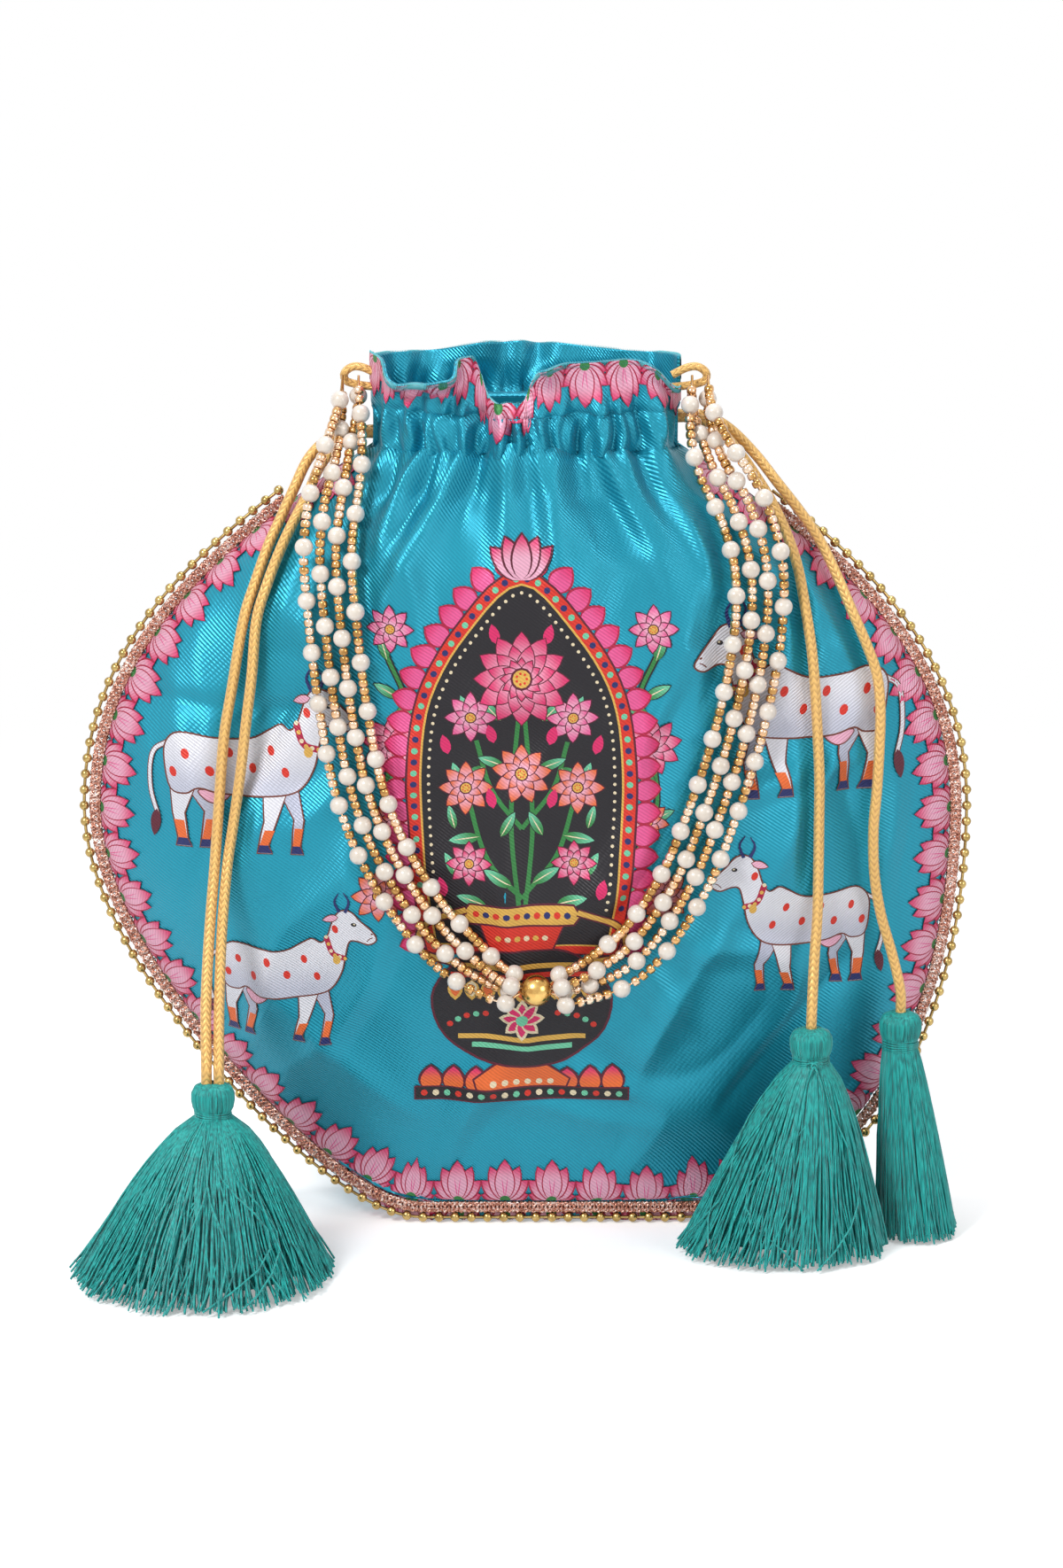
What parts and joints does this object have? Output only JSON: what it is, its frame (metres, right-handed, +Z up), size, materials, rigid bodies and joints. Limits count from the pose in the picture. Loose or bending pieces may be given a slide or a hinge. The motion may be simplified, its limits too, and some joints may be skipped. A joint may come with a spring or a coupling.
{
  "type": "drawstring potli bag",
  "caption": "Gathered satin drawstring pouch with a frilled mouth, edge trim of lace and small gold balls, a pearl strand handle and thread tassels on its drawstrings.",
  "frame": {"origin": "on the ground in the flat of the base, below the middle of the neck, in the plane of the side seam", "axes": "+Z up, +X to the right seen from the front, +Y from the front towards the back"},
  "size_m": [0.252, 0.1264, 0.25],
  "materials": {
    "satin_cloth": "shiny twill-weave satin, printed",
    "metallic_lace": "rose gold metallic braid",
    "gold_beads": "polished gold plate",
    "gold_cord": "twisted gold-yellow cord",
    "teal_thread": "silky teal thread",
    "pearl_beads": "pearl lustre with gold-lined glass beads between"
  },
  "bodies": {
    "bag": {"front_panel": "satin_cloth", "back_panel": "satin_cloth", "drawstring_casing": "satin_cloth", "edge_lace": "metallic_lace", "edge_ball_chain": "gold_beads", "drawstring_left": "gold_cord", "drawstring_right": "gold_cord", "tassel_left_hank": "teal_thread", "tassel_left_binding": "teal_thread", "tassel_right_inner_hank": "teal_thread", "tassel_right_inner_binding": "teal_thread", "tassel_right_outer_hank": "teal_thread", "tassel_right_outer_binding": "teal_thread", "handle_tab_left": "gold_cord", "handle_tab_right": "gold_cord"},
    "handle": {"handle_strand_1": "pearl_beads", "handle_strand_2": "pearl_beads", "handle_strand_3": "pearl_beads", "handle_strand_4": "pearl_beads", "handle_gold_ball": "gold_beads"}
  },
  "joints": [
    {"name": "handle_swing", "type": "hinge", "parent": "bag", "child": "handle", "pos_m": [0, -0.0025, 0.243], "axis": [-1, 0, 0], "range_deg": [0, 168]}
  ]
}
